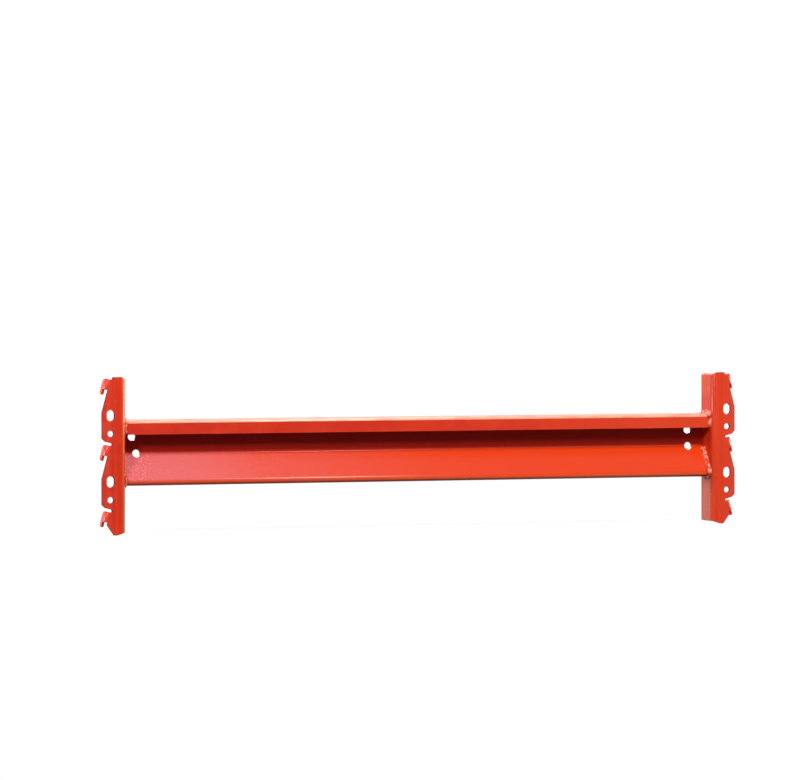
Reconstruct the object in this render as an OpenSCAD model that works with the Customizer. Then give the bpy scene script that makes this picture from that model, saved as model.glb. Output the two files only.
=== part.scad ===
// Pallet rack beam: one roll-formed open section between two clawed, L-shaped end connectors.
// Millimetres. +X runs along the beam, -Y faces the aisle, +Z is up.
// The origin is the middle of the load face, on top of the section.

/* [Rolled section] */
// Length of the section, between the side legs of the two connectors
beam_len = 974; // [600:1:1500]
// Height of the section
beam_h = 100; // [92:1:130]
// Depth of the section, front to rear
beam_d = 30; // [26:0.5:45]
// Thickness of the sheet
sheet_t = 3; // [2:0.1:4]
// Inner radius of the bends in the sheet
bend_r = 3; // [1:0.5:4]
// Height of the front lip, down from the load face
lip_h = 22.5; // [14:0.5:28]
// Height of the upright part of the web, down from the load face to the knee
knee_drop = 51; // [44:1:56]
// Height of the rear lip, up from the underside
rear_lip_h = 20; // [12:0.5:26]

/* [Holes in the web] */
// Diameter of the accessory holes
web_hole_d = 12; // [8:0.5:14]
// Drop of the upper holes below the load face
upper_hole_drop = 26.5; // [22:0.5:32]
// Drop of the lower holes, at the knee, below the load face
lower_hole_drop = 52; // [48:0.5:56]
// Distance of the upper hole from the left end of the section
left_upper_inset = 20; // [15:0.5:60]
// Distance of the upper hole from the right end
right_upper_inset = 28; // [15:0.5:60]
// Distance of the lower holes from the ends
lower_hole_inset = 27; // [15:0.5:60]

/* [Connector plates] */
// Thickness of the connector plate
plate_t = 4; // [3:0.1:5]
// Inner radius of the bend between the side leg and the face leg
plate_bend_r = 4; // [2:0.5:6]
// Width of the face leg, from the section's end to its outer edge
face_w = 38.5; // [36:0.5:44]
// Height of the plate above the load face
plate_rise = 61.5; // [50:0.5:80]
// Height of the plate below the top of its lowest claw, at the corner
tail_h = 31; // [28:0.5:45]
// How much deeper the plate's lowest point is than its corner
tail_drop = 4.5; // [2:0.5:7]
// Height of the parting nib on the top edge
nib_h = 3.5; // [1:0.5:4]

/* [Claws] */
// Spacing of the claws, which is the pitch of the upright's slots
claw_pitch = 100; // [90:1:110]
// Slant of the claws' bend lines from upright
claw_slant = 15; // [10:0.5:18]
// Distance from the section's end to the top of each bend line
claw_inset = 25.5; // [23:0.5:26]
// Length of the bend line that carries a claw
claw_root = 16; // [12:0.5:18]
// How far the hook hangs below its root
hook_drop = 8; // [4:0.5:10]
// Gap between the plate and the hook, for the wall of the upright
hook_gap = 3; // [2.6:0.1:4]
// How far a claw reaches behind the plate
claw_reach = 12; // [9:0.5:16]
// Inner radius of the bend that turns a claw back
claw_bend_r = 2.5; // [1.5:0.1:2.5]
// Width of the relief slot above a claw
relief_w = 4; // [2.5:0.5:4.5]
// How far a relief slot reaches inside the bend line, without its round end
relief_in = 0.5; // [0.5:0.1:2]
// Shoulder between the relief slot and the claw
claw_shoulder = 0.5; // [0.3:0.1:1]
// How far the plate's free edges are trimmed back from the bend lines
edge_trim = 0.5; // [0.3:0.1:0.8]

/* [Holes in the face leg] */
// Distance of the row of holes from the section's end
hole_row = 25; // [22:0.5:27]
// Width of the upright slots
slot_w = 12; // [9:0.5:13]
// Length of the upright slots, end to end
slot_len = 17; // [15:0.5:20]
// Drop of each slot's middle below the claw above it
slot_drop = 54.5; // [48:0.5:58]
// Diameter of the locking holes
lock_hole_d = 9.5; // [6:0.5:11]
// Drop of each locking hole below the claw above it
lock_hole_drop = 82; // [74:0.5:84]

/* [Welds] */
// Leg length of the fillet welds
weld_leg = 4; // [3:0.5:6]
// How much a weld's restart stands proud of its bead
weld_lump = 1; // [0.5:0.5:2]

/* [Hidden] */
$fn = 96;

paint = [0.86, 0.22, 0.12];
claws = 3;
past = 1; // how far a solid runs past, or into, what it cuts or joins

// The sheet's radii, on its outside and along its middle
out_r = bend_r + sheet_t;
mid_r = bend_r + sheet_t / 2;

// The connector's front plane lies the plate bend's radius ahead of the section,
// so that the section ends on the flat of the side leg
plate_out_r = plate_bend_r + plate_t;
front_y = -beam_d / 2 - plate_out_r;
side_d = plate_out_r + beam_d + weld_leg;

// Heights along the connector
corner_z = plate_rise - (claws - 1) * claw_pitch - tail_h;
tip_z = corner_z - tail_drop;

// The inclined web is the common tangent of the knee's arc and the front corner's arc,
// which bend opposite ways
knee_centre = [beam_d / 2 - sheet_t - bend_r, -knee_drop];
foot_centre = [-beam_d / 2 + out_r, -beam_h + out_r];
arc_gap = norm(foot_centre - knee_centre);
arc_lean = atan2(knee_centre.x - foot_centre.x, knee_centre.y - foot_centre.y);
web_len = sqrt(arc_gap ^ 2 - 4 * mid_r ^ 2);
web_slope = arc_lean + asin(2 * mid_r / arc_gap);

// The sheet as steps along its middle, from the edge of the front lip to the edge of
// the rear lip: the length of a straight run, then the bend after it, positive to the left
steps = [
    [lip_h - out_r, -90],
    [beam_d - 2 * out_r, -90],
    [knee_drop - out_r, -web_slope],
    [web_len, 90 + web_slope],
    [beam_d - 2 * out_r, 90],
    [rear_lip_h - out_r, 0]
];

// The bends are drawn with one facet for about this many degrees
bend_facet = 5;

// A heading's unit vector, and the one to its left
function ahead(h) = [cos(h), sin(h)];
function left_of(h) = [-sin(h), cos(h)];

// The centre of the bend that ends a step, where the step starts at pose [y, z, heading]
function bend_centre(pose, step) =
    [pose.x, pose.y] + step[0] * ahead(pose[2]) + sign(step[1]) * mid_r * left_of(pose[2]);

// Where a step that starts at pose ends
function step_end(pose, step) =
    let (heading = pose[2] + step[1])
    let (end = bend_centre(pose, step) - sign(step[1]) * mid_r * left_of(heading))
    [end.x, end.y, heading];

// Where step i starts
function pose_of(i) =
    i == 0 ? [-beam_d / 2 + sheet_t / 2, -lip_h, 90] : step_end(pose_of(i - 1), steps[i - 1]);

// Points round the bend that ends step i, on the sheet's left side (1) or its right (-1)
function bend_points(i, side) =
    let (pose = pose_of(i))
    let (turn = steps[i][1])
    let (r = side == sign(turn) ? bend_r : out_r)
    let (facets = ceil(abs(turn) / bend_facet))
    [for (k = [0 : facets])
        bend_centre(pose, steps[i]) - sign(turn) * r * left_of(pose[2] + turn * k / facets)];

// The corner of the sheet's edge at pose, on one side
function edge_point(pose, side) = [pose.x, pose.y] + side * sheet_t / 2 * left_of(pose[2]);

function reversed(list) = [for (k = [len(list) - 1 : -1 : 0]) list[k]];

// The cross-section of the rolled sheet: up its left side and back down its right
module sheet_section() {
    bends = len(steps) - 2;
    first = pose_of(0);
    last = step_end(pose_of(len(steps) - 1), steps[len(steps) - 1]);
    function along(side) =
        [edge_point(first, side), for (i = [0 : bends]) each bend_points(i, side), edge_point(last, side)];
    polygon(concat(along(1), reversed(along(-1))));
}

// Section space has x for the beam's Y, y for its Z and z for its X
module from_section_space() {
    rotate([90, 0, 90]) children();
}

// Moves to the start of a step, heading along its straight run
module at_step(i) {
    pose = pose_of(i);
    translate([pose.x, pose.y, 0]) rotate(pose[2]) children();
}

// A flat ring's part between two angles, up to a right angle apart
module ring_sector(inner_r, outer_r, from, to) {
    far = 2 * outer_r;
    intersection() {
        difference() {
            circle(r = outer_r);
            circle(r = inner_r);
        }
        polygon([[0, 0], far * ahead(from), far * ahead((from + to) / 2), far * ahead(to)]);
    }
}

// A hole through the web, from behind, that stops short of the front lip
module web_hole(x, drop) {
    translate([x, beam_d, -drop]) rotate([90, 0, 0]) cylinder(d = web_hole_d, h = beam_d);
}

module beam_profile() {
    color(paint) difference() {
        from_section_space() linear_extrude(beam_len, center = true) sheet_section();
        web_hole(-beam_len / 2 + left_upper_inset, upper_hole_drop);
        web_hole(beam_len / 2 - right_upper_inset, upper_hole_drop);
        for (end = [-1, 1]) web_hole(end * (beam_len / 2 - lower_hole_inset), lower_hole_drop);
    }
}

// Connector space has its origin at the corner in front of the section's right end, at the
// height of the load face: +X goes outward over the upright and +Y goes rearward
module at_connector() {
    translate([beam_len / 2, front_y, 0]) children();
}

// The height of a claw's top, where its bend line starts
function claw_z(k) = plate_rise - k * claw_pitch;

// A point given along (up) and across (out) the bend line of claw k, on the face leg
function on_bend_line(k, out, up) =
    [claw_inset + out * cos(claw_slant) - up * sin(claw_slant),
     claw_z(k) + out * sin(claw_slant) + up * cos(claw_slant)];

// The plate's slanted free edge, from the relief slot to where the plate has its full width
slant_len = (face_w - claw_inset + edge_trim * cos(claw_slant)) / sin(claw_slant);
// Below the lowest claw it ends a relief slot's width below the root
tail_slant_len = claw_shoulder + claw_root + relief_w;
// The chamfer that leads from the full width down to a relief slot
chamfer_out = 6;
chamfer_rise = 11;
// The nib stands on the top edge between these distances from the corner
nib_from = 6;
nib_to = 21;
nib_slope = 1;
// The lowest point is a short flat that stands inward of the row of holes
tip_inset = 11;
tip_at = hole_row - tip_inset;
tip_w = 5;

// The outline of the plate, seen from the front: over the nib, down the outer edge and
// back along the bottom
plate_outline = concat(
    [[0, plate_rise - nib_slope],
     [nib_from, plate_rise + nib_h - nib_slope],
     [nib_from + nib_slope, plate_rise + nib_h],
     [nib_to, plate_rise + nib_h],
     [nib_to + nib_slope, plate_rise],
     [claw_inset - edge_trim / cos(claw_slant), plate_rise],
     on_bend_line(0, -edge_trim, -slant_len)],
    [for (k = [1 : claws - 1]) each [
        [face_w, claw_z(k) + chamfer_rise],
        on_bend_line(k, chamfer_out, relief_w / 2),
        on_bend_line(k, -edge_trim, relief_w / 2),
        on_bend_line(k, -edge_trim, k < claws - 1 ? -slant_len : -tail_slant_len)]],
    [[tip_at + tip_w, tip_z],
     [tip_at, tip_z],
     [0, corner_z]]);

// The holes that are punched through the face leg between two claws
module face_holes(k) {
    translate([hole_row, claw_z(k) - slot_drop]) {
        for (end = [-1, 1]) translate([0, end * (slot_len - slot_w) / 2]) circle(d = slot_w);
        square([slot_w, slot_len - slot_w], center = true);
    }
    translate([hole_row, claw_z(k) - lock_hole_drop]) circle(d = lock_hole_d);
}

// The relief slot above claw k, square to its bend line
module relief_slot(k) {
    translate(on_bend_line(k, 0, relief_w / 2)) rotate(claw_slant) translate([-relief_in, 0]) {
        circle(d = relief_w);
        translate([0, -relief_w / 2]) square([face_w, relief_w]);
    }
}

// The L-shaped cross-section of the plate, seen from above
module plate_section() {
    translate([0, plate_out_r]) square([plate_t, side_d - plate_out_r]);
    translate([plate_out_r, plate_out_r]) ring_sector(plate_bend_r, plate_out_r, 180, 270);
    translate([plate_out_r, 0]) square([face_w - plate_out_r + past, plate_t]);
}

// The hook's corners: its lead-in at the tip and the small break inside it
hook_lead = 3;
hook_lead_rise = 4;
hook_break = 1;

// One claw: a tongue of the plate turned back through a right angle, with a hook at its end.
// Its own Z runs up the bend line, from the shoulder
module claw(k) {
    outer_r = claw_bend_r + plate_t;
    hook_at = plate_t + hook_gap;
    end_at = plate_t + claw_reach;
    low = claw_root + hook_drop;
    top = on_bend_line(k, 0, -claw_shoulder);
    translate([top.x, 0, top.y]) rotate([0, -claw_slant, 0]) {
        translate([-past, 0, -claw_root]) cube([past, plate_t, claw_root]);
        translate([0, outer_r, -claw_root])
            linear_extrude(claw_root) ring_sector(claw_bend_r, outer_r, -90, 0);
        translate([claw_bend_r, 0, 0]) rotate([90, 0, 90]) linear_extrude(plate_t) polygon([
            [outer_r, 0],
            [end_at - hook_lead, 0],
            [end_at, -hook_lead_rise],
            [end_at, hook_lead - low],
            [end_at - hook_lead, -low],
            [hook_at + hook_break, -low],
            [hook_at, hook_break - low],
            [hook_at, -claw_root],
            [outer_r, -claw_root]]);
    }
}

// A connector as it stands at the right end
module connector() {
    tall = plate_rise + nib_h - tip_z;
    at_connector() {
        intersection() {
            translate([0, 0, tip_z - past]) linear_extrude(tall + 2 * past) plate_section();
            translate([0, side_d + past, 0]) rotate([90, 0, 0]) linear_extrude(side_d + 2 * past)
                difference() {
                    polygon(plate_outline);
                    for (k = [0 : claws - 2]) face_holes(k);
                    for (k = [1 : claws - 1]) relief_slot(k);
                }
        }
        for (k = [0 : claws - 1]) claw(k);
    }
}

module left_connector() {
    color(paint) mirror([1, 0, 0]) connector();
}

module right_connector() {
    color(paint) connector();
}

// A weld's crown is drawn in flats, this many to a full turn
crown_flats = 12;

// The crowned section that a weld sweeps along the sheet, x away from the sheet and y along
// the beam
module weld_section(r = weld_leg) {
    intersection() {
        circle(r = r, $fn = crown_flats);
        translate([0, -2 * r]) square(4 * r);
    }
}

// A weld on one side of a step's straight run, between two distances along it
module weld_run(i, side, from, to) {
    at_step(i) translate([from, side * sheet_t / 2, 0])
        rotate([0, 90, 0]) rotate([0, 0, side * 90]) linear_extrude(to - from) weld_section();
}

// A weld round the outside of the bend that ends a step
module weld_bend(i) {
    turn = steps[i][1];
    at_step(i + 1) translate([0, sign(turn) * mid_r, 0]) rotate(-90 * sign(turn))
        rotate_extrude(angle = -turn) translate([out_r, 0]) weld_section();
}

// A round end or a restart of a weld, on a step's straight run
module weld_dome(i, side, at, r = weld_leg) {
    at_step(i) translate([at, side * sheet_t / 2, 0]) rotate([-90 * side, 0, 0]) rotate_extrude()
        intersection() {
            circle(r = r, $fn = crown_flats);
            square(2 * r);
        }
}

// The space that the connector fills, out to its corner's round
module connector_space() {
    low = tip_z - past;
    tall = plate_rise + nib_h - tip_z + 2 * past;
    at_connector() translate([0, 0, low]) {
        translate([plate_out_r, plate_out_r, 0]) cylinder(r = plate_out_r, h = tall);
        translate([0, plate_out_r, 0]) cube([face_w, side_d, tall]);
        translate([plate_out_r, 0, 0]) cube([face_w, side_d, tall]);
    }
}

// Trims a weld, swept about the section's right end, to the connector
module against_connector() {
    difference() {
        from_section_space() translate([0, 0, beam_len / 2]) children();
        connector_space();
    }
}

// Up the front lip, over the load face and down the back of the web
module upper_weld() {
    lip = steps[0][0];
    web_end = steps[2][0] - weld_leg;
    color(paint) against_connector() {
        weld_dome(0, 1, weld_leg);
        weld_run(0, 1, weld_leg, lip);
        weld_dome(0, 1, lip, weld_leg + weld_lump);
        weld_bend(0);
        weld_run(1, 1, 0, steps[1][0]);
        weld_bend(1);
        weld_run(2, 1, 0, web_end);
        weld_dome(2, 1, web_end);
    }
}

// Down the front of the inclined web, round the front corner and along the underside
module lower_weld() {
    underside_end = steps[4][0] - weld_leg;
    color(paint) against_connector() {
        weld_dome(3, -1, weld_leg);
        weld_run(3, -1, weld_leg, web_len);
        weld_dome(3, -1, web_len, weld_leg + weld_lump);
        weld_bend(3);
        weld_run(4, -1, 0, underside_end);
        weld_dome(4, -1, underside_end);
    }
}

module right_upper_weld() {
    upper_weld();
}

module left_upper_weld() {
    mirror([1, 0, 0]) upper_weld();
}

module right_lower_weld() {
    lower_weld();
}

module left_lower_weld() {
    mirror([1, 0, 0]) lower_weld();
}

beam_profile();
left_connector();
right_connector();
left_upper_weld();
right_upper_weld();
left_lower_weld();
right_lower_weld();
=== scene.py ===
"""The looks of the pallet rack beam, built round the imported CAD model.

Metres, with +X along the beam, -Y towards the front and +Z up."""

import math
import random

import bmesh
import bpy
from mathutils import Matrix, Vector


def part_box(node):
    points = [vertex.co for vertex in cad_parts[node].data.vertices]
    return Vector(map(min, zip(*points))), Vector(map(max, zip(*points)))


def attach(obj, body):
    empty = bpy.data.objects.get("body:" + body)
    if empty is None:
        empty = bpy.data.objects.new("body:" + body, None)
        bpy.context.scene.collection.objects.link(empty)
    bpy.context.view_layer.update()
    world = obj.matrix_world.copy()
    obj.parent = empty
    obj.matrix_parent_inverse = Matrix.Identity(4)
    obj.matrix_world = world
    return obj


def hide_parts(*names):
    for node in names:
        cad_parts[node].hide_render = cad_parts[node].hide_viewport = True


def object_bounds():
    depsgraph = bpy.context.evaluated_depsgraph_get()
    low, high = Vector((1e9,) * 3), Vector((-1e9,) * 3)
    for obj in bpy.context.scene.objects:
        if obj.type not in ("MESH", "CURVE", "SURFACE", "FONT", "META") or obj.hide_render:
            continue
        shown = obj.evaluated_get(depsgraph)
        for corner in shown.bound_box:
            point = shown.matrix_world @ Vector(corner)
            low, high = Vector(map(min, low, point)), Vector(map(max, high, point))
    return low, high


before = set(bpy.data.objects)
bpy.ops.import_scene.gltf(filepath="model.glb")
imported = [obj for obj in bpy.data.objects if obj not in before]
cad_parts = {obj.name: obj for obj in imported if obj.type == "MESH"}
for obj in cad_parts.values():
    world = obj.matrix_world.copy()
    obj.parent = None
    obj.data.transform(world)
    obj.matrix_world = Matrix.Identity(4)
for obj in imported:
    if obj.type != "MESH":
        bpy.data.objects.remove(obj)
cad_box = [list(corner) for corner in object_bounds()]
MM = 0.001

# ---------------------------------------------------------------- sizes
# As in part.scad
BEAM_D, BEAM_H, SHEET_T, BEND_R = 30 * MM, 100 * MM, 3 * MM, 3 * MM
LIP_H, KNEE_DROP = 22.5 * MM, 51 * MM
PLATE_RISE, CLAW_PITCH, CLAWS = 61.5 * MM, 100 * MM, 3
# A claw's root with the shoulder above it
CLAW_TALL = 16.5 * MM
WELD_LEG = 4 * MM
# The outside and the middle of a bend of the rolled sheet
OUT_R = BEND_R + SHEET_T
MID_R = BEND_R + SHEET_T / 2
END_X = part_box("beam_profile")[1].x
BACK_Y = cad_box[1][1]
FLOOR_Z = cad_box[0][2]

# The small round that a rolled and a punched edge have under paint, and the least angle that
# gets one
SECTION_ROUND, PLATE_ROUND = 0.35 * MM, 0.7 * MM
ROUND_FROM = 40
# Faces within this many degrees are one plane, and facets of one bend are within the second
SAME_PLANE, SAME_BEND = 0.3, 32
# A facet of a bend is narrower than this, over its length
FACET_MOST = 3 * MM
# Corners closer than this are one
SAME_POINT = 0.02 * MM

# ---------------------------------------------------------------- camera
# Fitted to the photograph, in its pixels and in metres
PHOTO_W, PHOTO_H = 805, 780
FOCAL_PX = 5098.4
CAMERA_AT = Vector((-2.9193, -7.3346, 0.2273))
YAW = math.radians(21.50)
HORIZON_Y = 269.5
SENSOR = 36.0
VIEW_DEPTH = 60

camera_data = bpy.data.cameras.new("camera")
camera = bpy.data.objects.new("camera", camera_data)
bpy.context.scene.collection.objects.link(camera)
camera.location = CAMERA_AT
camera.rotation_euler = (math.pi / 2, 0, -YAW)
camera_data.sensor_width = SENSOR
camera_data.lens = FOCAL_PX / PHOTO_W * SENSOR
camera_data.shift_y = -(PHOTO_H / 2 - HORIZON_Y) / PHOTO_W
camera_data.clip_end = VIEW_DEPTH
bpy.context.scene.camera = camera


# ---------------------------------------------------------------- node helpers
class Nodes:
    """A small wrapper that makes and links shader nodes."""

    def __init__(self, tree):
        self.tree = tree
        tree.nodes.clear()

    def add(self, kind, **settings):
        node = self.tree.nodes.new("ShaderNode" + kind)
        for key, value in settings.items():
            if hasattr(node, key):
                setattr(node, key, value)
            else:
                node.inputs[key].default_value = value
        return node

    def link(self, source, target):
        self.tree.links.new(source, target)

    def fill(self, socket, value):
        """Sets a socket to a number or a colour, or links it to another socket."""
        if isinstance(value, (int, float)):
            socket.default_value = value
        elif isinstance(value, tuple):
            socket.default_value = (*value, 1)
        else:
            self.link(value, socket)

    def math(self, operation, a, b=0.0, clamp=False):
        node = self.add("Math", operation=operation, use_clamp=clamp)
        self.fill(node.inputs[0], a)
        self.fill(node.inputs[1], b)
        return node.outputs[0]

    def product(self, *factors):
        total = factors[0]
        for factor in factors[1:]:
            total = self.math("MULTIPLY", total, factor)
        return total

    def mix(self, factor, a, b):
        node = self.add("Mix", data_type="RGBA")
        for index, value in ((0, factor), (6, a), (7, b)):
            self.fill(node.inputs[index], value)
        return node.outputs[2]

    def tint(self, colour, shade, *masks, by=None):
        """The colour, moved towards a shade where the masks are 1, by the share given."""
        factors = masks if by is None else (*masks, by)
        return self.mix(self.product(*factors), colour, shade)

    def ramp(self, value, low, high):
        """0 at low and 1 at high, smooth between them."""
        node = self.add("MapRange", interpolation_type="SMOOTHSTEP")
        for index, number in ((0, value), (1, low), (2, high)):
            self.fill(node.inputs[index], number)
        return node.outputs[0]

    def fall(self, value, low, high):
        """1 at low and 0 at high, smooth between them."""
        return self.math("SUBTRACT", 1.0, self.ramp(value, low, high))

    def band(self, axis, low, high, soft):
        """1 where a coordinate lies between low and high, 0 outside, soft at both ends."""
        return self.product(self.ramp(axis, low - soft, low), self.fall(axis, high, high + soft))

    def noise(self, vector, scale, detail, roughness=0.5):
        node = self.add("TexNoise", Scale=scale, Detail=detail, Roughness=roughness)
        self.link(vector, node.inputs["Vector"])
        return node.outputs["Fac"]

    def texture(self, vector, scale, detail, roughness, low, high):
        """Noise that is 0 up to low and 1 from high. Three scales stretch it along the axes."""
        if isinstance(scale, tuple):
            node = self.add("Mapping", Scale=scale)
            self.link(vector, node.inputs["Vector"])
            vector, scale = node.outputs["Vector"], 1.0
        return self.ramp(self.noise(vector, scale, detail, roughness), low, high)

    def split(self, vector):
        node = self.add("SeparateXYZ")
        self.link(vector, node.inputs[0])
        return node.outputs


# ---------------------------------------------------------------- colours of the coat and of the painted light and shade
def linear(r, g, b):
    """An sRGB colour, 0 to 255, as the linear numbers that a shader takes."""
    levels = (c / 255 for c in (r, g, b))
    return tuple(c / 12.92 if c <= 10 / 255 else ((c + 0.055) / 1.055) ** 2.4 for c in levels)


COAT = linear(213, 49, 17)
COAT_DEEP = linear(203, 40, 14)
COAT_PALE = linear(220, 62, 24)
COAT_WARM = linear(213, 56, 8)
# Painted shade, in the channel, on the underside and on the bends, and the real dark red where a
# weld's coat pools
SHADE_AND_POOL_RED = linear(165, 22, 8)
# Painted highlight, on the front top bend and on the weld beads
HIGHLIGHT_CREAM = linear(238, 190, 162)
# Painted highlight, along the foot and on the left connector's bend
HIGHLIGHT_ORANGE = linear(238, 104, 34)
COAT_BRIGHT = linear(236, 66, 22)
# Painted sheen on the inclined web, and pink dust on the connectors' face legs
PINK_DUST_AND_SHEEN = linear(203, 80, 82)
# Painted sheen on the side leg below the beam
SHEEN_GREY = linear(184, 118, 92)
SHEEN_PALE_SPECK = linear(228, 112, 128)
SHEEN_DEEP_SPECK = linear(176, 52, 56)
# Painted sheen on the side leg above the beam
SHEEN_ORANGE = linear(246, 99, 12)
# Painted shade on the punched edges
EDGE_SHADE = linear(36, 6, 5)


# ---------------------------------------------------------------- where the marks and the painted light and shade are
# Metres. A band is its low and high coordinate, and the width over which it fades. A pair is where
# a mark starts to show and where it is full, or with n.fall where it starts to fade and is gone.
PALER_X = (0.0, 0.45)
CHANNEL_Y, CHANNEL_Z = (-0.0125, 0.0128, 0.0005), (-0.049, -0.0035, 0.002)
WEB_Y, WEB_Z = (-0.0145, 0.0110, 0.002), (-0.093, -0.0515, 0.0015)
NEAR_X, FAR_X, BESIDE_X = (-0.44, -0.24), (-0.36, 0.10), (-0.455, -0.425)
CORNER_Y, CORNER_Z = (-0.016, -0.0105, 0.002), (-0.0048, 0.001, 0.001)
LESS_HIGHLIGHT_X = (-0.35, 0.15)
FOOT_Y, FOOT_Z = (-0.016, -0.012, 0.001), (-0.0965, -0.0935, 0.0008)
UNDER_Z = (-0.0978, -0.0962)
# On the connectors, OUT is the distance out from the end of the beam
BEND_OUT, BEND_Y = (-0.001, 0.0052, 0.0015), (-0.0235, -0.0168, 0.0015)
ABOVE_BEAM_Z = (-0.01, 0.01)
EDGE_Y, EDGE_OUT = (-0.0231, -0.0193, 0.0001), (0.009, 0.100, 0.0005)
# How squarely a surface faces the front or the back, where the punched edge's painted shade ends
SQUARE_ON = (0.94, 0.99)
# Where a claw's own colour starts, how far under its top it ends, and the width of its fade
CLAW_OUT, CLAW_GAP, CLAW_SOFT = (0.0195, 0.0205), 0.0005, 0.0003
SHADE_LINE_Y, SHADE_LINE_OUT = (-0.0108, -0.0092, 0.0005), (0.0005, 0.001)
DUSTY_OUT = (0.016, 0.034)
SIDE_LEG_Y, SIDE_TOP_Z, SIDE_FOOT_Z = (-0.0135, 0.030, 0.002), (0.022, 0.036), (-0.112, -0.092)

# ---------------------------------------------------------------- textures of the coat and of the painted light
# Scale, detail and roughness of the noise, then where it starts to show and where it is full
MOTTLE = (14, 4, 0.6, 0.35, 0.65)
PATCHES = (55, 3, 0.5, 0.5, 0.75)
GRAIN = (420, 4, 0.7, 0.3, 0.7)
HIGHLIGHT_STREAKS = ((25, 500, 500), 3, 0.6, 0.30, 0.55)
PRESS_LINES = ((240, 240, 5), 3, 0.6, 0.36, 0.66)
DUST = (60, 4, 0.65, 0.32, 0.62)
STREAKS = ((20, 420, 6), 4, 0.65, 0.34, 0.62)
HIGHLIGHT_BLOTCHES = (150, 3, 0.6, 0.42, 0.60)
POOLS = (260, 2, 0.5, 0.60, 0.72)
# One noise gives both kinds of speck
SPECKS, PALE_SPECKS, DEEP_SPECKS = (330, 4, 0.75), (0.50, 0.66), (0.34, 0.50)
# Scale and detail of the noises that vary the gloss and raise the fine and broad orange peel
GLOSS_NOISE, FINE_PEEL, BROAD_PEEL = (130, 3), (620, 2), (190, 2)

# ---------------------------------------------------------------- how strong the marks and the painted light are
# What the painted sheen is near the connector and farther off, what its grain adds and its least,
# and how dull it is
SHEEN_NEAR, SHEEN_FAR, GRAIN_ADDS, GRAIN_LEAST, SHEEN_DULL = 0.60, 0.27, 0.80, 0.55, 0.45
# What the streaks add to the painted highlight and its least, and the most highlight and what the
# right end has less
HIGHLIGHT_STREAKS_ADD, HIGHLIGHT_STREAKS_LEAST, HIGHLIGHT_MOST, HIGHLIGHT_LESS = 0.5, 0.5, 0.88, 0.20


# ---------------------------------------------------------------- marks on the coat and painted light and shade, by place
def section_marks(n, place, axes, colour):
    """What the coat shows on the rolled section, with its painted light and shade, and where it is
    dull.
    """
    x, y, z = axes
    # The coat is a shade paler towards the right end
    colour = n.tint(colour, COAT_PALE, n.ramp(x, *PALER_X), by=0.85)
    # Painted shade: the coat is painted darker inside the channel, where the lip shades it
    channel_shade = n.product(n.band(y, *CHANNEL_Y), n.band(z, *CHANNEL_Z))
    colour = n.tint(colour, SHADE_AND_POOL_RED, channel_shade, by=0.85)
    # The inclined web has taken more coat, and near the left connector a pink sheen is painted on
    # it, a painted reflection that fades to the right
    web = n.product(n.band(y, *WEB_Y), n.band(z, *WEB_Z))
    colour = n.tint(colour, COAT_WARM, web, by=0.85)
    near = n.product(n.fall(x, *NEAR_X), SHEEN_NEAR)
    far = n.product(n.fall(x, *FAR_X), SHEEN_FAR)
    painted_sheen = n.product(n.math("ADD", near, far), web)
    grain = n.math("ADD", n.product(n.texture(place, *GRAIN), GRAIN_ADDS), GRAIN_LEAST)
    colour = n.mix(n.math("MULTIPLY", painted_sheen, grain, clamp=True), colour, PINK_DUST_AND_SHEEN)
    # Right beside the connector the painted sheen is speckled
    beside = n.product(web, n.fall(x, *BESIDE_X))
    specks = n.noise(place, *SPECKS)
    colour = n.tint(colour, SHEEN_PALE_SPECK, beside, n.ramp(specks, *PALE_SPECKS), by=0.8)
    colour = n.tint(colour, SHEEN_DEEP_SPECK, beside, n.fall(specks, *DEEP_SPECKS), by=0.6)
    # Painted highlight: a cream, streaked highlight is painted along the front corner of the load
    # face, stronger to the left
    corner_highlight = n.product(n.band(y, *CORNER_Y), n.band(z, *CORNER_Z))
    highlight_streaks = n.math("ADD", n.product(n.texture(place, *HIGHLIGHT_STREAKS), HIGHLIGHT_STREAKS_ADD), HIGHLIGHT_STREAKS_LEAST)
    highlight_strength = n.math("SUBTRACT", HIGHLIGHT_MOST, n.product(n.ramp(x, *LESS_HIGHLIGHT_X), HIGHLIGHT_LESS))
    colour = n.tint(colour, HIGHLIGHT_CREAM, corner_highlight, highlight_streaks, highlight_strength)
    # A painted highlight runs orange along the foot, and painted shade darkens the underside
    foot = n.product(n.band(y, *FOOT_Y), n.band(z, *FOOT_Z))
    colour = n.tint(colour, HIGHLIGHT_ORANGE, foot, by=0.40)
    colour = n.tint(colour, SHADE_AND_POOL_RED, n.fall(z, *UNDER_Z), by=0.5)
    return colour, n.math("ADD", channel_shade, n.product(painted_sheen, SHEEN_DULL))


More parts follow.
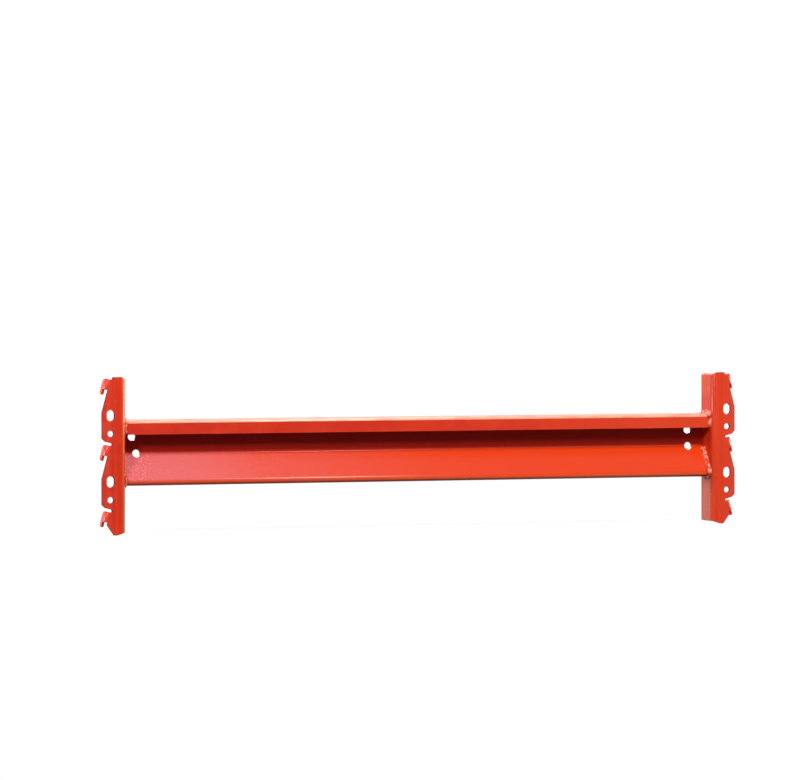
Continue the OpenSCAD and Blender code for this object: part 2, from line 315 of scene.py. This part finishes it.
def connector_marks(n, place, axes, colour):
    """What the coat shows on the pressed connectors, with its painted light and shade, and where it
    is dull.
    """
    x, y, z = axes
    facing = n.split(n.add("TexCoord").outputs["Normal"])
    out = n.math("SUBTRACT", n.math("ABSOLUTE", x), END_X)
    at_left = n.math("LESS_THAN", x, 0.0)
    at_right = n.math("GREATER_THAN", x, 0.0)
    # Press marks run up and down the plate, and the right plate is a shade paler
    colour = n.tint(colour, COAT_BRIGHT, n.texture(place, *PRESS_LINES), by=0.5)
    colour = n.tint(colour, COAT_PALE, at_right, by=0.6)
    # Painted highlight: the outside of the left bend is painted lighter and more orange
    bend = n.product(n.band(out, *BEND_OUT), n.band(y, *BEND_Y))
    colour = n.tint(colour, HIGHLIGHT_ORANGE, bend, at_left, by=0.62)
    # Painted shade: the right bend is painted darker above the beam
    colour = n.tint(colour, SHADE_AND_POOL_RED, bend, at_right, n.ramp(z, *ABOVE_BEAM_Z), by=0.5)
    # Painted shade: the punched edges and the small round before them are painted dark, apart
    # from the claws
    sideways = n.fall(n.math("ABSOLUTE", facing[1]), *SQUARE_ON)
    edge = n.product(n.band(y, *EDGE_Y), n.band(out, *EDGE_OUT), sideways)
    for k in range(CLAWS):
        top = PLATE_RISE - k * CLAW_PITCH
        tall = n.band(z, top - CLAW_TALL, top - CLAW_GAP, CLAW_SOFT)
        claw = n.product(tall, n.ramp(out, *CLAW_OUT))
        edge = n.product(edge, n.math("SUBTRACT", 1.0, claw))
    colour = n.mix(edge, colour, EDGE_SHADE)
    # Painted shade: a dark line is painted along the side leg, just behind the bend
    colour = n.tint(colour, SHADE_AND_POOL_RED, n.band(y, *SHADE_LINE_Y), n.fall(out, *SHADE_LINE_OUT), by=0.6)
    # The face leg is duller and pinker towards its outer edge
    colour = n.tint(colour, PINK_DUST_AND_SHEEN, n.ramp(out, *DUSTY_OUT), n.texture(place, *DUST), by=0.30)
    # A painted sheen runs streaked along the side leg towards its ends, orange above the beam and
    # greyish below
    side = n.band(y, *SIDE_LEG_Y)
    streaks = n.texture(place, *STREAKS)
    colour = n.tint(colour, SHEEN_ORANGE, side, n.ramp(z, *SIDE_TOP_Z), streaks, by=0.75)
    colour = n.tint(colour, SHEEN_GREY, side, n.fall(z, *SIDE_FOOT_Z), streaks, by=0.7)
    return colour, edge


def weld_marks(n, place, axes, colour):
    """Painted highlights: pale blotches on the bead stand in for its glints, and the coat is darker
    and duller where it pools.
    """
    # Painted highlight: pale cream blotches
    colour = n.tint(colour, HIGHLIGHT_CREAM, n.texture(place, *HIGHLIGHT_BLOTCHES), by=0.55)
    pools = n.texture(place, *POOLS)
    return n.tint(colour, SHADE_AND_POOL_RED, pools, by=0.45), pools


# ---------------------------------------------------------------- the coat
SPECULAR = 0.24
# How much the roughness varies from place to place, and how much a dull mark adds
GLOSS_VARIES, DULL_ADDS = 0.10, 0.5
# How much the orange peel's broad waves count, and its height
BROAD_SHARE, PEEL_HIGH = 0.8, 0.0002


def powder_coat(name, rough, peel, marks):
    """Semi-gloss powder coat: orange peel, faint mottling, and the colour and dullness that
    `marks` adds by place."""
    material = bpy.data.materials.new(name)
    material.use_nodes = True
    n = Nodes(material.node_tree)
    output = n.add("OutputMaterial")
    shader = n.add("BsdfPrincipled")
    n.link(shader.outputs[0], output.inputs[0])
    shader.inputs["Specular IOR Level"].default_value = SPECULAR
    place = n.add("TexCoord").outputs["Object"]

    colour = n.mix(n.texture(place, *MOTTLE), COAT_DEEP, COAT)
    colour = n.tint(colour, COAT_PALE, n.texture(place, *PATCHES), by=0.3)
    colour, dull = marks(n, place, n.split(place), colour)
    n.link(colour, shader.inputs["Base Color"])

    varied = n.product(n.noise(place, *GLOSS_NOISE), GLOSS_VARIES)
    gloss = n.math("ADD", varied, rough - GLOSS_VARIES / 2)
    n.link(n.math("ADD", gloss, n.product(dull, DULL_ADDS)), shader.inputs["Roughness"])
    broad = n.product(n.noise(place, *BROAD_PEEL), BROAD_SHARE)
    bump = n.add("Bump", Strength=peel, Distance=PEEL_HIGH)
    n.link(n.math("ADD", n.noise(place, *FINE_PEEL), broad), bump.inputs["Height"])
    n.link(bump.outputs[0], shader.inputs["Normal"])
    return material


# ---------------------------------------------------------------- the CAD nodes
def shade_by_form(mesh):
    """Smooth shading on the facets of rolled bends and holes, and flat on the flats beside them."""
    edges, faces = {}, mesh.polygons
    for face in faces:
        corners = [tuple(round(c, 6) for c in mesh.vertices[v].co) for v in face.vertices]
        for pair in zip(corners, corners[1:] + corners[:1]):
            edges.setdefault(tuple(sorted(pair)), []).append(face.index)
    group = list(range(len(faces)))

    def root(i):
        while group[i] != i:
            group[i] = group[group[i]]
            i = group[i]
        return i

    def within(a, b, degrees):
        return faces[a].normal.dot(faces[b].normal) > math.cos(math.radians(degrees))

    joints = [pair for pair in edges.values() if len(pair) == 2]
    for a, b in joints:
        if within(a, b, SAME_PLANE):
            group[root(a)] = root(b)
    curved = set()
    for a, b in joints:
        if root(a) != root(b) and within(a, b, SAME_BEND):
            curved.update((root(a), root(b)))
    spans = {}
    for face in faces:
        area, low, high = spans.get(root(face.index), (0.0, [math.inf] * 3, [-math.inf] * 3))
        for v in face.vertices:
            low = [min(c) for c in zip(low, mesh.vertices[v].co)]
            high = [max(c) for c in zip(high, mesh.vertices[v].co)]
        spans[root(face.index)] = (area + face.area, low, high)
    for face in faces:
        area, low, high = spans[root(face.index)]
        narrow = area < FACET_MOST * (Vector(high) - Vector(low)).length
        face.use_smooth = narrow and root(face.index) in curved


def finish_cad(node, material, edge_round):
    """Dresses a CAD node: its coat, and the small round that its edges have under paint."""
    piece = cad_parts[node]
    piece.data.materials.clear()
    piece.data.materials.append(material)
    shade_by_form(piece.data)
    weld = piece.modifiers.new("join", "WELD")
    weld.merge_threshold = SAME_POINT
    flats = piece.modifiers.new("flats", "DECIMATE")
    flats.decimate_type, flats.angle_limit = "DISSOLVE", math.radians(SAME_PLANE)
    edge = piece.modifiers.new("edge", "BEVEL")
    edge.width, edge.segments, edge.limit_method = edge_round, 2, "ANGLE"
    edge.angle_limit = math.radians(ROUND_FROM)


profile_coat = powder_coat("beam_paint", rough=0.21, peel=0.18, marks=section_marks)
connector_coat = powder_coat("connector_paint", rough=0.26, peel=0.25, marks=connector_marks)
bead_coat = powder_coat("weld_paint", rough=0.26, peel=0.4, marks=weld_marks)
finish_cad("beam_profile", profile_coat, SECTION_ROUND)
finish_cad("left_connector", connector_coat, PLATE_ROUND)
finish_cad("right_connector", connector_coat, PLATE_ROUND)

# ---------------------------------------------------------------- weld beads
# Space between the rows of points along a bead
ROW_STEP = 0.4 * MM
# Length of one crescent ripple, its height over the bead's size, and its bow over its length
RIPPLE, RIPPLE_HIGH, RIPPLE_BOWS = 2.3 * MM, 0.055, 0.55
# Length over which a bead's width wanders
WANDER = 6 * MM
# In millimetres, how far a ripple strays and how deep a bead's toes and its root are sunk
STRAYS_MM, TOE_MM, ROOT_MM = 0.3, 0.05, 0.3
# Over the weld's leg: a bead's mean size, how much it wanders, and the length of its round ends
MEAN_SIZE, WANDERS, END_LENGTH = 1.06, 0.07, 1.1
# Over the bead's size: its ends, its face near the toes, and what its middle stands above that
END_SIZE, FACE_HIGH, BELLY = 0.15, 0.86, 0.1
# A normal's share of +Y above which a bead counts as being at the back
AT_BACK = 0.5
# What the left and the right beads add to their seed
SEEDS = {-1: 3, 1: 7}
# Points across a bead's face
ACROSS = 14


def section_steps():
    """The rolled sheet as runs and bends along its middle, as part.scad draws it."""
    knee = Vector((BEAM_D / 2 - SHEET_T - BEND_R, -KNEE_DROP))
    foot = Vector((-BEAM_D / 2 + OUT_R, -BEAM_H + OUT_R))
    gap = (foot - knee).length
    lean = math.atan2(knee.x - foot.x, knee.y - foot.y)
    slope = lean + math.asin(2 * MID_R / gap)
    web_len = math.sqrt(gap**2 - 4 * MID_R**2)
    return [
        (LIP_H - OUT_R, -90),
        (BEAM_D - 2 * OUT_R, -90),
        (KNEE_DROP - OUT_R, -math.degrees(slope)),
        (web_len, 90 + math.degrees(slope)),
        (BEAM_D - 2 * OUT_R, 90),
    ]


def sheet_path(first, last, side):
    """Points and outward normals along one side of the sheet, from the start of run `first`
    to the end of run `last`, in the beam's (y, z) plane."""
    at = Vector((-BEAM_D / 2 + SHEET_T / 2, -LIP_H))
    heading = math.pi / 2
    path = []
    for index, (run, turn) in enumerate(section_steps()):
        ahead = Vector((math.cos(heading), math.sin(heading)))
        left = Vector((-ahead.y, ahead.x))
        wanted = first <= index <= last
        if wanted:
            count = max(2, round(run / ROW_STEP))
            for k in range(count):
                point = at + ahead * run * k / count + left * side * SHEET_T / 2
                path.append((point, left * side))
        at = at + ahead * run
        sign = 1 if turn > 0 else -1
        centre = at + left * sign * MID_R
        if wanted and index < last:
            radius = OUT_R if side != sign else BEND_R
            count = max(4, round(radius * abs(math.radians(turn)) / ROW_STEP))
            for k in range(count):
                a = math.radians(turn) * k / count
                out = Vector((-math.sin(heading + a), math.cos(heading + a))) * -sign
                path.append((centre + out * radius, out))
        heading += math.radians(turn)
        at = centre - Vector((-math.sin(heading), math.cos(heading))) * sign * MID_R
    return path


def weld_bead(name, node, sign, path, lumps):
    """A hand-laid fillet bead in the corner between the sheet and the connector's side leg.
    Each pass of the torch leaves a crescent ripple, and starts and stops leave lumps, each
    given as its place along the path, how much it adds and how far it spreads."""
    rng = random.Random(len(path) + SEEDS[sign])
    length = [0.0]
    for (a, _), (b, _) in zip(path, path[1:]):
        length.append(length[-1] + (b - a).length)
    total = length[-1]
    count = int(total / RIPPLE) + 2
    ripples = [k * RIPPLE + rng.uniform(-STRAYS_MM, STRAYS_MM) * MM for k in range(count)]
    wander = [rng.uniform(-1, 1) for _ in range(int(total / WANDER) + 3)]
    mesh = bpy.data.meshes.new(name)
    bm = bmesh.new()
    rows = []
    for (point, normal), s in zip(path, length):
        near = min(ripples, key=lambda r: abs(r - s))
        saw = (s - near) / RIPPLE
        w = s / WANDER
        k = int(w)
        drift = wander[k] * (1 - (w - k)) + wander[k + 1] * (w - k)
        # The ends are round, and don't run out to nothing
        end = min(s, total - s) / (WELD_LEG * END_LENGTH)
        taper = math.sqrt(max(0.0, 1 - (1 - min(1.0, end)) ** 2))
        swell = sum(gain * math.exp(-(((s - at) / spread) ** 2)) for at, gain, spread in lumps)
        size = WELD_LEG * (MEAN_SIZE + WANDERS * drift + swell)
        size *= END_SIZE + (1 - END_SIZE) * taper
        if normal.x > AT_BACK:
            # At the back the toe stays inside the CAD model's box
            size = min(size, (BACK_Y - point.x) / normal.x)
        row = []
        for j in range(ACROSS + 1):
            t = j / ACROSS
            angle = t * math.pi / 2
            bow = RIPPLE_BOWS * (t - 0.5) ** 2 * 4
            crescent = RIPPLE_HIGH * math.cos(2 * math.pi * (saw + bow))
            belly = FACE_HIGH + BELLY * math.sin(2 * angle)
            r = size * (belly + crescent * math.sin(math.pi * t)) if 0 < j < ACROSS else size
            toe = point + normal * (r * math.cos(angle) - TOE_MM * MM)
            x = sign * (END_X - r * math.sin(angle) + TOE_MM * MM)
            row.append(bm.verts.new((x, toe.x, toe.y)))
        root = point - normal * ROOT_MM * MM
        row.append(bm.verts.new((sign * (END_X + ROOT_MM * MM), root.x, root.y)))
        rows.append(row)
    for a, b in zip(rows, rows[1:]):
        for j in range(len(a)):
            after = (j + 1) % len(a)
            bm.faces.new([a[j], a[after], b[after], b[j]])
    bm.faces.new(rows[0])
    bm.faces.new(list(reversed(rows[-1])))
    bmesh.ops.recalc_face_normals(bm, faces=bm.faces)
    bm.to_mesh(mesh)
    bm.free()
    for polygon in mesh.polygons:
        polygon.use_smooth = True
    piece = bpy.data.objects.new(name, mesh)
    bpy.context.scene.collection.objects.link(piece)
    mesh.materials.append(bead_coat)
    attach(piece, "root")
    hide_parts(node)


# The sides of the sheet that the beads follow
upper_path = sheet_path(0, 2, 1)
lower_path = sheet_path(3, 4, -1)
lip_run, top_run, _, web_run, _ = (run for run, _ in section_steps())
bend_run = OUT_R * math.pi / 2
# Places along the upper beads: the front corner, the top and the rear corner
corner_at = lip_run + 0.5 * bend_run
top_at = lip_run + bend_run + 0.3 * top_run
rear_at = lip_run + 1.5 * bend_run + top_run
upper_lumps = {
    "left": [(2 * MM, 0.10, 3 * MM), (corner_at, 0.22, 4 * MM), (rear_at, 0.3, 5 * MM)],
    "right": [
        (3 * MM, 0.15, 3 * MM),
        (corner_at, 0.42, 4 * MM),
        (top_at, 0.62, 6 * MM),
        (rear_at, 0.3, 5 * MM),
    ],
}
lower_lumps = {
    "left": [(3 * MM, 0.10, 3 * MM), (web_run, 0.3, 4 * MM)],
    "right": [(4 * MM, 0.62, 5 * MM), (0.5 * web_run, 0.45, 12 * MM), (web_run, 0.5, 5 * MM)],
}
for side, sign in (("left", -1), ("right", 1)):
    weld_bead(side + "_upper_bead", side + "_upper_weld", sign, upper_path, upper_lumps[side])
    weld_bead(side + "_lower_bead", side + "_lower_weld", sign, lower_path, lower_lumps[side])

# ---------------------------------------------------------------- background and floor
WHITE = (1.0, 1.0, 1.0)
# Strength of the world as light, and as it is seen
WORLD_LIGHT, WORLD_SEEN = 0.035, 1.0
FLOOR_DARK, FLOOR_PALE, FLOOR_NOISE = (0.085, 0.085, 0.085), (0.095, 0.095, 0.095), (3, 3)
# How much the floor is raised where it is seen
FLOOR_LIFT = 0.91
# Between these distances from the middle of the beam the floor turns to white
FADE = (0.6, 1.6)
FLOOR_HALF = 15.0


def seen_directly(n):
    """1 for a ray from the camera, or one that a shiny or clear surface sends on, else 0."""
    path = n.add("LightPath")
    rays = n.math("MAXIMUM", path.outputs["Is Camera Ray"], path.outputs["Is Glossy Ray"])
    return n.math("MAXIMUM", rays, path.outputs["Is Transmission Ray"])


def join(n, kind, *sources):
    """A shader node that joins what it is given, in the order of its sockets."""
    node = n.add(kind)
    for socket, source in zip(node.inputs, sources):
        n.link(source, socket)
    return node.outputs[0]


def make_world():
    world = bpy.data.worlds.new("studio")
    bpy.context.scene.world = world
    world.use_nodes = True
    n = Nodes(world.node_tree)
    lighting = n.add("Background", Strength=WORLD_LIGHT)
    shown = n.add("Background", Strength=WORLD_SEEN)
    for background in (lighting, shown):
        n.fill(background.inputs["Color"], WHITE)
    mixed = join(n, "MixShader", seen_directly(n), lighting.outputs[0], shown.outputs[0])
    n.link(mixed, n.add("OutputWorld").inputs[0])


def floor_paint():
    """Matt grey paint. Seen directly it is raised to white, as the world is, and near the
    object it keeps the shadow."""
    material = bpy.data.materials.new("floor_paint")
    material.use_nodes = True
    n = Nodes(material.node_tree)
    matt = n.add("BsdfDiffuse")
    place = n.add("TexCoord").outputs["Object"]
    n.link(n.mix(n.noise(place, *FLOOR_NOISE), FLOOR_DARK, FLOOR_PALE), matt.inputs["Color"])
    seen = seen_directly(n)
    lift = n.add("Emission")
    n.link(n.product(seen, FLOOR_LIFT), lift.inputs["Strength"])
    far = n.add("Emission", Strength=1.0)
    for glow in (lift, far):
        n.fill(glow.inputs["Color"], WHITE)
    near = join(n, "AddShader", matt.outputs[0], lift.outputs[0])
    reach = n.add("VectorMath", operation="LENGTH")
    n.link(place, reach.inputs[0])
    fade = n.product(seen, n.ramp(reach.outputs["Value"], *FADE))
    mixed = join(n, "MixShader", fade, near, far.outputs[0])
    n.link(mixed, n.add("OutputMaterial").inputs[0])
    return material


def make_floor():
    mesh = bpy.data.meshes.new("floor")
    corners = ((-1, -1), (1, -1), (1, 1), (-1, 1))
    points = [(x * FLOOR_HALF, y * FLOOR_HALF, FLOOR_Z) for x, y in corners]
    mesh.from_pydata(points, [], [(0, 1, 2, 3)])
    floor = bpy.data.objects.new("floor", mesh)
    bpy.context.scene.collection.objects.link(floor)
    mesh.materials.append(floor_paint())


make_world()
make_floor()

# ---------------------------------------------------------------- lamps
# Name, azimuth, elevation, distance, size, and level on a surface that faces it. Azimuth 0 is in
# front (-Y), and 90 is at the left (-X).
LAMPS = [
    ("key", -14, 46.5, 3.1, 0.7, 1.0),
    ("low_left", 50, 23.5, 6.0, 0.8, 0.47),
    ("left", 100, 4, 2.5, 0.45, 0.62),
    ("right", -93, 4, 2.5, 0.45, 0.60),
    ("top", -103, 68, 4.0, 1.0, 0.40),
    ("back", 180, 18, 4.5, 1.2, 0.50),
]


def lamp(name, azimuth, elevation, distance, size, level):
    """A square soft box aimed at the beam."""
    data = bpy.data.lights.new(name, "AREA")
    data.shape, data.size = "SQUARE", size
    data.energy = level * math.pi**2 * distance**2
    light = bpy.data.objects.new(name, data)
    bpy.context.scene.collection.objects.link(light)
    a, e = math.radians(azimuth), math.radians(elevation)
    direction = Vector((-math.sin(a) * math.cos(e), -math.cos(a) * math.cos(e), math.sin(e)))
    light.location = direction * distance
    light.rotation_euler = direction.to_track_quat("Z", "Y").to_euler()


for settings in LAMPS:
    lamp(*settings)

bpy.context.scene.view_settings.view_transform = "Standard"
bpy.context.view_layer.update()
